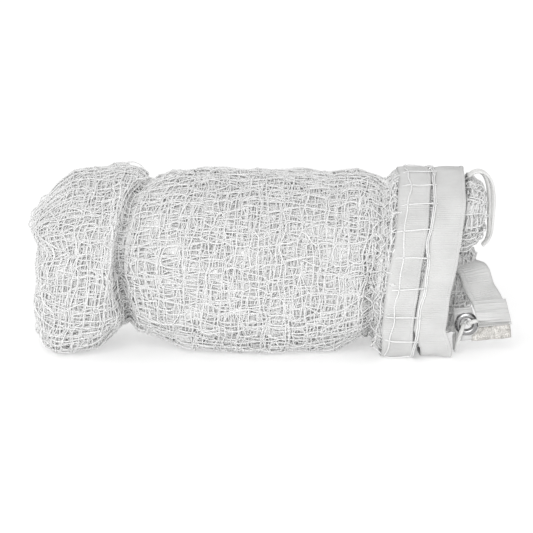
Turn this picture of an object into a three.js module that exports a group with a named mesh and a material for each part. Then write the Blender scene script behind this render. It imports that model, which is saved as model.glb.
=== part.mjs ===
// A tennis net packed for storage: the netting is rolled and cinched into three bunches by two
// twine ties, the headband goes round the right-hand bunch, and the headband's end hangs out of
// the roll with a corner eyelet and a tie cord. Millimetres, +Z up, +X along the bundle.
// The bundle lies on the floor (z = 0), with its long side along X.
import * as THREE from 'three';

// ---------------------------------------------------------------- driving dimensions
const clearance = 0.3;          // gap between pieces that touch
const bundleHalfLength = 358;   // the bundle with its headband end, half of it
const midHeight = 140;          // height about which the waists lean
const aroundSteps = 56;         // points round a section of the roll
const sectionPower = 2.3;       // 2 would be an ellipse; fuller than that

const bandThickness = 5.7;      // both plies of the folded headband, with the netting edge between
const cordDiameter = 6;         // head cord and tie cord
const tieDiameter = 5;          // twine ties round the waists
const loopDiameter = 4;         // side cord

// Sections of the roll: half depth in Y, and the top and bottom heights. A section that would
// reach below its floor is flattened there.
const leftTip = { halfDepth: 52, top: 196, bottom: 84, floor: 0 };
const leftBelly = { halfDepth: 139, top: 280, bottom: -12, floor: 0 };
const leftWaist = { halfDepth: 97, top: 252, bottom: 40, floor: 0 };
const centreBelly = { halfDepth: 141, top: 274, bottom: -12, floor: 0 };
const rightWaist = { halfDepth: 112, top: 250, bottom: 22, floor: 0 };
const bandSeat = { halfDepth: 130, top: 268, bottom: -6, floor: bandThickness + clearance };
const rollCore = { halfDepth: 103, top: 240, bottom: 24, floor: 0 };

const leftWaistX = -197;        // at mid height
const rightWaistX = 160;
const neckHalfWidth = 3.4;      // straight part of a waist, under the tie

const innerWrap = { from: 176, to: 220 };
const outerWrap = { from: 229, to: 275 };
const rollEnd = 270;

// How far the roll's sections lean towards +X for each millimetre of height.
const leans = [
  { x: -bundleHalfLength, lean: 0 },
  { x: leftWaistX, lean: 0.16 },
  { x: 0, lean: 0.03 },
  { x: rightWaistX, lean: 0.09 },
  { x: outerWrap.from, lean: 0.11 },
  { x: bundleHalfLength, lean: 0.11 },
];

// Headband end: the tail comes out of the roll, hangs down its end, and laps over the end hem.
const bandWidth = 46;
const ply = 1.8;                                        // one ply of the folded tape
const plyGap = 1.4;                                     // the netting edge lies between the plies
const tailRoot = new THREE.Vector3(306, -30, 126);      // middle of the fold it swings about
const tailFoot = new THREE.Vector3(333, -71, 60);       // middle of its lower edge
const stubHeight = 16;                                  // band between the fold and the netting
const hem = { left: 273, middleY: -61, middleZ: 46, slope: 0.09, length: 83, width: 51 };
const hemThickness = 7;
const lap = { from: 32, top: 3 };                       // where the tail laps over the hem
const patch = { from: 38, height: 22, thickness: 1.2 };
const eyelet = { x: 18.4, z: 0.5, hole: 9.5, barrel: 10.8, flange: 17.8, washer: 17, sheet: 1.2 };
const eyeletDome = 2.2;

// ---------------------------------------------------------------- materials
const materials = {
  netting: new THREE.MeshStandardMaterial({ color: 0xe9e9e7, roughness: 0.85 }),
  headband: new THREE.MeshStandardMaterial({ color: 0xf2f2f0, roughness: 0.75 }),
  cord: new THREE.MeshStandardMaterial({ color: 0xf0efec, roughness: 0.7 }),
  twine: new THREE.MeshStandardMaterial({ color: 0xe6e6e3, roughness: 0.8 }),
  patch: new THREE.MeshStandardMaterial({ color: 0xe6dfd0, roughness: 0.7 }),
  eyeletMetal: new THREE.MeshStandardMaterial({ color: 0xb9bbbd, roughness: 0.3, metalness: 1 }),
};

const net = new THREE.Group();

function addPiece(name, geometry, material) {
  const mesh = new THREE.Mesh(geometry, material);
  mesh.name = name;
  net.add(mesh);
  return mesh;
}

// ---------------------------------------------------------------- shape helpers
function signedPower(value, power) {
  return Math.sign(value) * Math.abs(value) ** power;
}

function mixSections(a, b, t) {
  const mixed = {};
  for (const key of Object.keys(a)) {
    mixed[key] = THREE.MathUtils.lerp(a[key], b[key], t);
  }
  return mixed;
}

function leanAt(x) {
  const after = Math.max(1, leans.findIndex((mark) => mark.x >= x));
  const [a, b] = [leans[after - 1], leans[after]];
  return THREE.MathUtils.mapLinear(x, a.x, b.x, a.lean, b.lean);
}

function leaned(x, y, z) {
  return new THREE.Vector3(x + leanAt(x) * (z - midHeight), y, z);
}

// The outline of a section of the roll, anticlockwise seen from +X, moved outwards by grow.
function sectionLoop(section, grow = 0) {
  const middle = (section.top + section.bottom) / 2;
  const halfHeight = (section.top - section.bottom) / 2;
  const base = [];
  for (let i = 0; i < aroundSteps; i += 1) {
    const angle = (i / aroundSteps) * 2 * Math.PI;
    const y = section.halfDepth * signedPower(Math.cos(angle), 2 / sectionPower);
    const z = middle + halfHeight * signedPower(Math.sin(angle), 2 / sectionPower);
    base.push(new THREE.Vector2(y, Math.max(z, section.floor)));
  }
  return base.map((point, i) => {
    const before = base[(i + aroundSteps - 1) % aroundSteps];
    const after = base[(i + 1) % aroundSteps];
    const along = after.clone().sub(before).normalize();
    return new THREE.Vector2(point.x + along.y * grow, point.y - along.x * grow);
  });
}

// Joins rows of points into one closed surface. Each row is a closed loop with as many points as
// the next. Without caps the last row joins the first. Otherwise caps are the triangles that close
// the first row and the last, as the points' places in a row.
function skin(rows, caps = null) {
  const perRow = rows[0].length;
  const faces = [];
  const lastRow = caps ? rows.length - 1 : rows.length;
  for (let r = 0; r < lastRow; r += 1) {
    const next = (r + 1) % rows.length;
    for (let i = 0; i < perRow; i += 1) {
      const j = (i + 1) % perRow;
      const [a, b] = [r * perRow + i, r * perRow + j];
      const [c, d] = [next * perRow + j, next * perRow + i];
      faces.push(a, b, c, a, c, d);
    }
  }
  const last = (rows.length - 1) * perRow;
  for (const [a, b, c] of caps ?? []) {
    faces.push(a, c, b, last + a, last + b, last + c);
  }
  const geometry = new THREE.BufferGeometry().setFromPoints(rows.flat());
  geometry.setIndex(faces);
  geometry.computeVertexNormals();
  return geometry;
}

// The triangles that fill an outline, turning the same way as it does.
function capsOf(outline) {
  const triangles = THREE.ShapeUtils.triangulateShape(outline, []);
  return THREE.ShapeUtils.isClockWise(outline) ? triangles.map(([a, b, c]) => [a, c, b]) : triangles;
}

// A solid lofted through sections of the roll, given as { x, section } from low x to high x.
function loft(stations) {
  const rows = stations.map(({ x, section }) =>
    sectionLoop(section).map((point) => leaned(x, point.x, point.y)));
  return skin(rows, capsOf(sectionLoop(stations[0].section)));
}

// A ring round the roll. Its profile is a closed outline of { x, loop } points, each with the
// loop round the roll that it lies on.
function ring(profile) {
  const rows = [];
  for (let i = aroundSteps - 1; i >= 0; i -= 1) {
    rows.push(profile.map(({ x, loop }) => leaned(x, loop[i].x, loop[i].y)));
  }
  return skin(rows);
}

// A ring round one section. Its profile is { x, grow } points, grow being the height above it.
function ringRound(section, profile) {
  return ring(profile.map(({ x, grow }) => ({ x, loop: sectionLoop(section, grow) })));
}

function circleProfile(x, grow, radius, sides) {
  const profile = [];
  for (let i = 0; i < sides; i += 1) {
    const angle = (i / sides) * 2 * Math.PI;
    profile.push({ x: x + radius * Math.cos(angle), grow: grow - radius * Math.sin(angle) });
  }
  return profile;
}

// A round cord along a smooth curve through the given points.
function cordAlong(points, diameter, steps, sides) {
  const section = new THREE.Shape();
  for (let i = 0; i < sides; i += 1) {
    const angle = (i / sides) * 2 * Math.PI;
    const [x, y] = [diameter / 2 * Math.cos(angle), diameter / 2 * Math.sin(angle)];
    if (i === 0) {
      section.moveTo(x, y);
    } else {
      section.lineTo(x, y);
    }
  }
  section.closePath();
  const path = new THREE.CatmullRomCurve3(points, false, 'centripetal');
  return new THREE.ExtrudeGeometry(section, { steps, extrudePath: path });
}

// ---------------------------------------------------------------- netting
// A bunch swells from its neck on one side to its belly and back to the neck on the other.
function bunch({ from, to, fromSection, toSection, belly, steps }) {
  const stations = [];
  const swellFrom = from + (fromSection === leftTip ? 0 : neckHalfWidth);
  const swellTo = to - neckHalfWidth;
  if (swellFrom > from) {
    stations.push({ x: from, section: fromSection });
  }
  for (let i = 0; i <= steps; i += 1) {
    const u = -Math.cos((i / steps) * Math.PI);
    const fullness = (1 - Math.abs(u) ** 2.6) ** 0.5;
    const x = THREE.MathUtils.mapLinear(u, -1, 1, swellFrom, swellTo);
    stations.push({ x, section: mixSections(u < 0 ? fromSection : toSection, belly, fullness) });
  }
  stations.push({ x: to, section: toSection });
  return loft(stations);
}

addPiece('netting_left_bunch', bunch({
  from: -bundleHalfLength,
  to: leftWaistX - clearance / 2,
  fromSection: leftTip,
  toSection: leftWaist,
  belly: leftBelly,
  steps: 14,
}), materials.netting);

addPiece('netting_centre_bunch', bunch({
  from: leftWaistX + clearance / 2,
  to: rightWaistX - clearance / 2,
  fromSection: leftWaist,
  toSection: rightWaist,
  belly: centreBelly,
  steps: 18,
}), materials.netting);

// The right-hand bunch fills the headband's wraps, and its core goes on inside the stacked turns.
addPiece('netting_right_bunch', loft([
  { x: rightWaistX + clearance / 2, section: rightWaist },
  { x: rightWaistX + neckHalfWidth, section: rightWaist },
  { x: rightWaistX + 8, section: mixSections(rightWaist, bandSeat, 0.6) },
  { x: innerWrap.from - 2, section: bandSeat },
  { x: innerWrap.to + 2, section: bandSeat },
  { x: innerWrap.to + 2.5, section: rollCore },
  { x: rollEnd - 8, section: rollCore },
  { x: rollEnd, section: mixSections(rollCore, leftTip, 0.15) },
]), materials.netting);

// The last folds of netting bulge out of the end of the roll, above the headband's tail.
const tuftStart = { halfDepth: 84, top: 238, bottom: 150, floor: 0 };
const tuftBelly = { halfDepth: 92, top: 262, bottom: 150, floor: 0 };
const tuftTip = { halfDepth: 52, top: 232, bottom: 172, floor: 0 };
addPiece('netting_end_tuft', loft([
  { x: rollEnd + clearance, section: tuftStart },
  { x: rollEnd + 12, section: tuftBelly },
  { x: rollEnd + 30, section: mixSections(tuftBelly, tuftTip, 0.3) },
  { x: rollEnd + 42, section: tuftTip },
]), materials.netting);

// Below it, behind the headband's tail, a smaller fold of netting bulges out.
const foldMiddleY = 24;
const foldStart = { halfDepth: 56, top: 147, bottom: 14, floor: 0 };
const foldTip = { halfDepth: 34, top: 128, bottom: 40, floor: 0 };
const endFold = addPiece('netting_end_fold', loft([
  { x: rollEnd + clearance, section: foldStart },
  { x: rollEnd + 20, section: mixSections(foldStart, foldTip, 0.15) },
  { x: rollEnd + 34, section: foldTip },
]), materials.netting);
endFold.position.y = foldMiddleY;

// ---------------------------------------------------------------- twine ties round the waists
function bundleTie(side, x, section) {
  const grow = tieDiameter / 2 + clearance;
  const ring = ringRound(section, circleProfile(x, grow, tieDiameter / 2, 8));
  addPiece(`${side}_bundle_tie`, ring, materials.twine);

  const knotRadius = 6.5;
  const knotHeight = section.top + tieDiameter + knotRadius + 2 * clearance;
  const knot = new THREE.SphereGeometry(knotRadius, 14, 10);
  const piece = addPiece(`${side}_tie_knot`, knot, materials.twine);
  piece.position.copy(leaned(x, 0, knotHeight));
}

bundleTie('left', leftWaistX, leftWaist);
bundleTie('right', rightWaistX, rightWaist);

// ---------------------------------------------------------------- headband round the roll
// The band is folded over the head cord, so a groove inside it, near its right edge, holds the cord.
function headbandWrap(side, { from, to }) {
  const grooveRadius = cordDiameter / 2 + clearance;
  const grooveX = to - 4 - grooveRadius;
  const grooveDepth = bandThickness - 1.4;
  const wrap = [
    { x: from, grow: clearance },
    { x: from, grow: bandThickness + clearance },
    { x: to, grow: bandThickness + clearance },
    { x: to, grow: clearance },
    { x: grooveX + grooveRadius, grow: clearance },
    { x: grooveX + grooveRadius, grow: grooveDepth },
    { x: grooveX - grooveRadius, grow: grooveDepth },
    { x: grooveX - grooveRadius, grow: clearance },
  ];
  addPiece(`headband_${side}_wrap`, ringRound(bandSeat, wrap), materials.headband);

  // The cord is pressed oval between the band and the netting.
  const ovalHalfHeight = (grooveDepth - 3 * clearance) / 2;
  const cordGrow = 2 * clearance + ovalHalfHeight;
  const oval = circleProfile(grooveX, 0, cordDiameter / 2, 10).map(({ x, grow }) =>
    ({ x, grow: cordGrow + grow * ovalHalfHeight / (cordDiameter / 2) }));
  addPiece(`head_cord_${side}_wrap`, ringRound(bandSeat, oval), materials.cord);
}

headbandWrap('inner', innerWrap);
headbandWrap('outer', outerWrap);

// The turns of headband wound under the outer wrap.
const stackFrom = innerWrap.to + 3;
const stackTo = rollEnd;
addPiece('headband_stacked_turns', ring([
  { x: stackFrom, loop: sectionLoop(rollCore, clearance) },
  { x: stackFrom, loop: sectionLoop(bandSeat, -clearance) },
  { x: stackTo, loop: sectionLoop(bandSeat, -clearance) },
  { x: stackTo, loop: sectionLoop(rollCore, clearance) },
]), materials.headband);

// ---------------------------------------------------------------- headband tail
// The tape is folded in two round the head cord, which fills the fold along its left edge. The
// outline is in across (from the left edge) and through (from the front ply to the back one).
function foldedTapeOutline() {
  const foldInside = cordDiameter / 2 + clearance;
  const foldOutside = foldInside + ply;
  const flat = plyGap / 2 + ply;
  const outline = [[bandWidth, -flat]];
  const foldSteps = 10;
  const arc = (radius, offset, direction) => {
    const start = Math.asin(offset / radius);
    for (let i = 0; i <= foldSteps; i += 1) {
      const t = direction > 0 ? i / foldSteps : 1 - i / foldSteps;
      const angle = -start + t * (2 * start - 2 * Math.PI);
      outline.push([foldOutside + radius * Math.cos(angle), radius * Math.sin(angle)]);
    }
  };
  arc(foldOutside, flat, 1);
  outline.push([bandWidth, flat], [bandWidth, plyGap / 2]);
  arc(foldInside, plyGap / 2, -1);
  outline.push([bandWidth, -plyGap / 2]);
  return outline;
}

function asPoints(outline) {
  return outline.map(([across, through]) => new THREE.Vector2(across, through));
}

// Places an outline at a point along the tail, in the plane across it.
function acrossTail(outline, middle, throughTape) {
  return outline.map(([across, through]) =>
    middle.clone().addScaledVector(throughTape, through).setX(middle.x + across - bandWidth / 2));
}

const tailDown = tailFoot.clone().sub(tailRoot).setX(0).normalize();
const throughTail = new THREE.Vector3(1, 0, 0).cross(tailDown);
const tapeOutline = foldedTapeOutline();
const cordOutline = circleProfile(0, 0, cordDiameter / 2, 10).map(({ x, grow }) =>
  [x + cordDiameter / 2 + clearance + ply, grow]);

for (const [name, outline, material] of [
  ['headband_tail', tapeOutline, materials.headband],
  ['head_cord_tail', cordOutline, materials.cord],
]) {
  const rows = [tailRoot, tailFoot].map((middle) => acrossTail(outline, middle, throughTail));
  addPiece(name, skin(rows, capsOf(asPoints(outline))), material);
}

const stubFoot = tailRoot.clone().setZ(tailRoot.z + cordDiameter / 2 + ply + 2 * clearance);
const stubTop = stubFoot.clone().setZ(stubFoot.z + stubHeight);
const throughStub = new THREE.Vector3(0, 1, 0);
const stubRows = [stubTop, stubFoot].map((middle) => acrossTail(tapeOutline, middle, throughStub));
addPiece('headband_tail_root', skin(stubRows, capsOf(asPoints(tapeOutline))), materials.headband);

// ---------------------------------------------------------------- headband end hem and its eyelet
// The hem stands across the end of the tail, its left end a little lower. In its own frame x runs
// along it from the left end, z up from its middle line, and y through it.
const hemGroup = new THREE.Group();
hemGroup.position.set(hem.left, hem.middleY, hem.middleZ);
hemGroup.rotation.y = -hem.slope;
net.add(hemGroup);

function addHemPiece(name, geometry, material) {
  const mesh = addPiece(name, geometry, material);
  hemGroup.add(mesh);
}

function hemPlate() {
  const half = hem.width / 2;
  const outline = new THREE.Shape();
  outline.moveTo(0, -half);
  outline.lineTo(hem.length, -half);
  outline.lineTo(hem.length, lap.top);
  outline.lineTo(lap.from, lap.top);
  outline.lineTo(lap.from - 5, half);
  outline.lineTo(0, half);
  outline.closePath();
  const hole = new THREE.Path();
  hole.absarc(eyelet.x, eyelet.z, eyelet.barrel + clearance, 0, 2 * Math.PI, true);
  outline.holes.push(hole);
  const plate = new THREE.ExtrudeGeometry(outline, {
    depth: hemThickness,
    bevelEnabled: false,
    curveSegments: 32,
  });
  plate.rotateX(Math.PI / 2);
  plate.translate(0, hemThickness / 2, 0);
  return plate;
}

addHemPiece('headband_end_hem', hemPlate(), materials.headband);

// A strip of pale tape folded up round the hem's lower edge.
function edgePatch() {
  const inside = hemThickness / 2 + clearance;
  const outside = inside + patch.thickness;
  const hemFoot = -hem.width / 2;
  const outline = new THREE.Shape([
    new THREE.Vector2(-outside, hemFoot + patch.height),
    new THREE.Vector2(-outside, hemFoot - clearance - patch.thickness),
    new THREE.Vector2(outside, hemFoot - clearance - patch.thickness),
    new THREE.Vector2(outside, hemFoot + patch.height),
    new THREE.Vector2(inside, hemFoot + patch.height),
    new THREE.Vector2(inside, hemFoot - clearance),
    new THREE.Vector2(-inside, hemFoot - clearance),
    new THREE.Vector2(-inside, hemFoot + patch.height),
  ]);
  const depth = hem.length - patch.from;
  const strip = new THREE.ExtrudeGeometry(outline, { depth, bevelEnabled: false });
  strip.rotateX(Math.PI / 2);
  strip.rotateZ(Math.PI / 2);
  strip.translate(patch.from, 0, 0);
  return strip;
}

addHemPiece('hem_edge_patch', edgePatch(), materials.patch);

// The eyelet is drawn through the hem from the front and rolled over its washer at the back.
function lathe(outline) {
  const points = outline.map(([radius, y]) => new THREE.Vector2(radius, y));
  points.push(points[0].clone());
  const turned = new THREE.LatheGeometry(points, 40);
  turned.translate(eyelet.x, 0, eyelet.z);
  return turned;
}

const hemFront = -hemThickness / 2 - clearance;
const hemBack = hemThickness / 2 + clearance;
const washerBack = hemBack + eyelet.sheet + clearance;
addHemPiece('corner_eyelet', lathe([
  [eyelet.hole, hemFront - 0.5 * eyeletDome],
  [eyelet.barrel, hemFront - eyeletDome],
  [(eyelet.barrel + eyelet.flange) / 2, hemFront - eyeletDome],
  [eyelet.flange, hemFront - 0.5 * eyelet.sheet],
  [eyelet.flange, hemFront],
  [eyelet.barrel, hemFront],
  [eyelet.barrel, washerBack],
  [eyelet.barrel + 2.4, washerBack],
  [eyelet.barrel + 2, washerBack + eyelet.sheet],
  [eyelet.hole, washerBack + eyelet.sheet],
]), materials.eyeletMetal);

addHemPiece('corner_eyelet_washer', lathe([
  [eyelet.barrel + clearance, hemBack],
  [eyelet.washer, hemBack],
  [eyelet.washer, hemBack + 0.6 * eyelet.sheet],
  [eyelet.barrel + 3.2, hemBack + eyelet.sheet],
  [eyelet.barrel + clearance, hemBack + eyelet.sheet],
]), materials.eyeletMetal);

// ---------------------------------------------------------------- tie cord
// It comes out from under the tail's lap, goes through the eyelet, hangs in a loop behind the hem,
// comes back through the eyelet, and passes under the hem's corner to a knot behind it.
const tieCordRoute = [
  [308, -70, 54],
  [303.5, -71.5, 54],
  [298.5, -72, 52.3],
  [294.8, -68.5, 50.3],
  [293.8, -62, 49.2],
  [294, -54, 48.2],
  [297.5, -46.5, 45.5],
  [303, -41, 42],
  [307.5, -38.5, 36],
  [308, -38, 29.5],
  [303.5, -38, 25],
  [296.5, -38.5, 24],
  [290, -39.5, 26],
  [286, -41, 30.5],
  [284.8, -43, 35],
  [285.8, -46.5, 39.5],
  [287, -52.5, 43.3],
  [287.2, -60, 46],
  [286.3, -67.5, 45.5],
  [284, -72.5, 40.5],
  [281.3, -73.3, 33],
  [278.7, -73, 25],
  [276.6, -70.5, 16.5],
  [275.5, -64, 9.5],
  [275, -56, 8.2],
  [274.8, -49, 13],
  [274.6, -45.2, 20.5],
  [274.5, -43.6, 29],
];
const tieCordPoints = tieCordRoute.map((point) => new THREE.Vector3(...point));
addPiece('tie_cord', cordAlong(tieCordPoints, cordDiameter, 78, 8), materials.cord);

const tieKnotRadius = 7;
const tieKnotShape = new THREE.SphereGeometry(tieKnotRadius, 14, 10);
const tieKnot = addPiece('tie_cord_knot', tieKnotShape, materials.cord);
const tieCordEnd = tieCordPoints.at(-1);
const endDirection = tieCordEnd.clone().sub(tieCordPoints.at(-2)).normalize();
tieKnot.position.copy(tieCordEnd).addScaledVector(endDirection, tieKnotRadius + 2 * clearance);

// ---------------------------------------------------------------- side cord
// Slack loops of the side cord stand out of the end of the roll, one behind another.
const sideCordRoute = [
  [294, 0, 266],
  [303, 0, 272],
  [314, 0, 273],
  [324, 0, 267],
  [330, 0, 255],
  [332.5, 0, 240],
  [333, 0, 222],
  [331.5, 0, 204],
  [330, 0, 186],
  [325, 0, 171],
  [316, 0, 161],
];
const sideCordLoops = [
  { y: -27, right: 0, up: 0 },
  { y: -20, right: -6.5, up: 1.5 },
  { y: -12, right: -3, up: 3.5 },
  { y: -3, right: -8, up: -1 },
];
sideCordLoops.forEach(({ y, right, up }, index) => {
  const points = sideCordRoute.map((point, i) => {
    const bulge = Math.sin(Math.PI * i / (sideCordRoute.length - 1));
    return new THREE.Vector3(point[0] + right * bulge, y, point[2] + up);
  });
  addPiece(`side_cord_loop_${index + 1}`, cordAlong(points, loopDiameter, 40, 8), materials.cord);
});

export default net;
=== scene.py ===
"""A tennis net packed for storage: rolled netting cinched into three bunches, its headband round
the right-hand one, and the headband's loose end with its eyelet and tie cord. Metres, Z up."""

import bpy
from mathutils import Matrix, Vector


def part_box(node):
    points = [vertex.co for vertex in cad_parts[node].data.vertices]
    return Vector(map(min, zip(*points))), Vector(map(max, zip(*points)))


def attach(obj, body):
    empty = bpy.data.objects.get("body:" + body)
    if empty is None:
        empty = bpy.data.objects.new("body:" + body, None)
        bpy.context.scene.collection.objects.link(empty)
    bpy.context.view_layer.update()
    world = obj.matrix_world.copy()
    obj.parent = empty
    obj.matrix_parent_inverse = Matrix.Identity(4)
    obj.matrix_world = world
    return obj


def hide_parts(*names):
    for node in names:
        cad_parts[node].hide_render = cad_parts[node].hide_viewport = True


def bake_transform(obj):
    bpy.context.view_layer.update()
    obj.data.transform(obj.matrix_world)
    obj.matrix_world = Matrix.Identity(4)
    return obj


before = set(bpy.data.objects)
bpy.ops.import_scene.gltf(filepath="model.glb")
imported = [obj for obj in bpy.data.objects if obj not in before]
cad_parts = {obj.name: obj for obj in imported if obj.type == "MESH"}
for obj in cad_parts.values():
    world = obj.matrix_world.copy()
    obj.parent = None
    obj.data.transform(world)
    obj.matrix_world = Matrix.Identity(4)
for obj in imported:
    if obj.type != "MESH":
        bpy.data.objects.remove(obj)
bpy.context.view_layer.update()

import math

import bmesh
import bpy
import numpy as np
from mathutils import Vector
from mathutils.bvhtree import BVHTree

MM = 0.001
TAU = 2 * math.pi

# ------------------------------------------------------------------ driving values
TWINE = 2.1 * MM                # diameter of the netting's twine
MESH = 40 * MM                  # side of one mesh of the netting
GATHER = 2.5                    # netting length for each length of roll along X
LAYERS = 11                     # layers of netting that can be seen into
SINK = 2.0 * MM                 # the mean of the outermost layer, below the CAD surface
LAYER_DEPTH = 5 * MM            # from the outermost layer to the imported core
MID_HEIGHT = 140 * MM           # height of the roll's axis
ROLL_RADIUS = 140 * MM
OUTER_LAYERS = 3                # layers drawn finely, with their knots
COLUMNS = 34                    # twines along the roll in each layer
CORD = 6 * MM                   # diameters of the tie cord, side cord and ties
SIDE_CORD = 4 * MM
TIE = 4.6 * MM
BAND_LEAN = 0.11                # metres that the headband leans towards +X for each one of height
# The roll's sections lean towards +X for each metre of height, as (x, lean).
LEANS = [(-358, 0), (-197, 0.16), (0, 0.03), (160, 0.09), (229, 0.11), (358, 0.11)]

# ------------------------------------------------------------------ camera
def make_camera():
    """A long lens in front of the bundle and a little above it."""
    aim = Vector((-6.75 * MM, 0, 122 * MM))
    distance = 7.0
    elevation = math.radians(12)
    width_seen = 0.800                  # of the plane through the aim
    data = bpy.data.cameras.new("camera")
    data.sensor_width = 36
    data.lens = data.sensor_width * distance / width_seen
    camera = bpy.data.objects.new("camera", data)
    bpy.context.scene.collection.objects.link(camera)
    camera.location = aim + Vector((0, -math.cos(elevation), math.sin(elevation))) * distance
    camera.rotation_euler = (math.pi / 2 - elevation, 0, 0)
    bpy.context.scene.camera = camera


make_camera()


# ------------------------------------------------------------------ mesh helpers
def put(made, body, slot, *nodes):
    """Fixes a piece to its body, and hides the CAD nodes that it stands for. slot is not used."""
    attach(made, body)
    if nodes:
        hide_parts(*nodes)


def part_way(value, start, span):
    """0 at start, 1 at start + span, and level beyond them."""
    return np.clip((value - start) / span, 0, 1)


def graded(value, marks, amounts):
    """A length that varies with another, from values in mm."""
    return np.interp(value / MM, marks, amounts) * MM


def bell(value, middle, width):
    """1 at the middle, falling to nothing either side; the middle and width are in mm."""
    return np.exp(-((value / MM - middle) / width) ** 2)


def off_x(directions):
    """(y, z) directions as (x, y, z) ones."""
    return np.pad(directions, ((0, 0), (1, 0)))


def towards_left(count):
    return np.tile([-1.0, 0, 0], (count, 1))


def unit(vectors):
    return vectors / np.maximum(np.linalg.norm(vectors, axis=-1, keepdims=True), 1e-12)


def travel(points):
    """How far along the line each of its points is."""
    return np.concatenate([[0], np.cumsum(np.linalg.norm(np.diff(points, axis=0), axis=1))])


def ring_angles(count):
    return np.arange(count) / count * TAU


def flat_grid(*ranges):
    """Every pairing of the ranges' values, as flat arrays."""
    return [grid.ravel() for grid in np.meshgrid(*ranges, indexing="ij")]


def grid_quads(m, n, round_m=False, round_n=False):
    """Faces over m x n points, which may close on themselves either way."""
    i, j = flat_grid(np.arange(m if round_m else m - 1), np.arange(n if round_n else n - 1))
    i_next, j_next = (i + 1) % m, (j + 1) % n
    return np.stack([i * n + j, i * n + j_next, i_next * n + j_next, i_next * n + j], -1)


def tube_uvs(u, k):
    """Along and round, for a tube of k sides whose rings lie u metres along it."""
    i, j = flat_grid(np.arange(len(u) - 1), np.arange(k))
    low, high = j / k, (j + 1) / k
    return np.stack([u[i], low, u[i], high, u[i + 1], high, u[i + 1], low], -1).reshape(-1, 2)


def make_object(name, vertices, faces, material, uvs=None):
    """An object from points and from arrays of faces, where each array's faces have the same
    number of sides."""
    vertices = np.asarray(vertices, np.float32)
    groups = faces if isinstance(faces, list) else [faces]
    corners = np.concatenate([group.ravel() for group in groups]).astype(np.int32)
    sides = np.concatenate([np.full(len(group), group.shape[1]) for group in groups])
    starts = (np.cumsum(sides) - sides).astype(np.int32)
    mesh = bpy.data.meshes.new(name)
    mesh.vertices.add(len(vertices))
    mesh.vertices.foreach_set("co", vertices.ravel())
    mesh.loops.add(len(corners))
    mesh.loops.foreach_set("vertex_index", corners)
    mesh.polygons.add(len(sides))
    mesh.polygons.foreach_set("loop_start", starts)
    mesh.polygons.foreach_set("use_smooth", np.full(len(sides), True))
    if uvs is not None:
        layer = mesh.uv_layers.new(name="along_and_round")
        layer.data.foreach_set("uv", np.asarray(uvs, np.float32).ravel())
    mesh.update(calc_edges=True)
    mesh.materials.append(material)
    made = bpy.data.objects.new(name, mesh)
    bpy.context.scene.collection.objects.link(made)
    return made


def mend_facing(made):
    """Turns every face of a closed mesh outwards."""
    mesh = bmesh.new()
    mesh.from_mesh(made.data)
    bmesh.ops.recalc_face_normals(mesh, faces=mesh.faces)
    mesh.to_mesh(made.data)
    mesh.free()


def rings_round(points, up, side, radius, k):
    """Rings of k points round each point of a line. radius is one number for each point, or one
    for each point and angle."""
    angle = ring_angles(k)[:, None]
    return points[:, None] + radius[..., None] * (
        up[:, None] * np.cos(angle) + side[:, None] * np.sin(angle))


def fan(ring, hub, k, first):
    """Triangles from a ring of k points to its middle, for the first or last end of a tube."""
    j = np.arange(k)
    a, b = ring + j, ring + (j + 1) % k
    return np.stack([np.full(k, hub)] + ([b, a] if first else [a, b]), -1)


def tube_faces(n, k):
    """The faces of a tube of n rings of k points, whose last two points are its ends' middles."""
    return [grid_quads(n, k, False, True), fan(0, n * k, k, True),
            fan((n - 1) * k, n * k + 1, k, False)]


class Tubes:
    """Gathers round twines along many lines into one mesh."""

    def __init__(self, diameter, sides):
        self.radius, self.sides = diameter / 2, sides
        self.vertices, self.faces, self.uvs, self.caps, self.count = [], [], [], [], 0

    def add(self, points, outward, closed=False, scale=1.0):
        """A tube along the points. outward is a direction across the line at each of them."""
        points = np.asarray(points, float)
        if closed:
            along = np.roll(points, -1, 0) - np.roll(points, 1, 0)
        else:
            along = np.gradient(points, axis=0)
        along = unit(along)
        up = unit(outward - (outward * along).sum(1, keepdims=True) * along)
        radius = np.full((len(points), 1), self.radius * scale)
        rings = rings_round(points, up, np.cross(along, up), radius, self.sides)
        n, k = len(points), self.sides
        self.vertices.append(rings.reshape(-1, 3))
        self.faces.append(grid_quads(n, k, closed, True) + self.count)
        self.uvs.append(tube_uvs(travel(points[np.arange(n + closed) % n]), k))
        self.count += n * k
        if not closed:
            start, end = self.count - n * k, self.count - k
            self.caps += [fan(start, self.count, k, True), fan(end, self.count + 1, k, False)]
            self.vertices.append(points[[0, -1]])
            self.count += 2

    def build(self, name, material):
        quads = np.concatenate(self.faces)
        caps = np.concatenate(self.caps) if self.caps else np.zeros((0, 3), int)
        uvs = np.concatenate(self.uvs + [np.zeros((caps.size, 2))])
        return make_object(name, np.concatenate(self.vertices), [quads, caps], material, uvs)


# ------------------------------------------------------------------ materials
def set_values(inputs, values):
    for name, value in values.items():
        inputs[name].default_value = value


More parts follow.
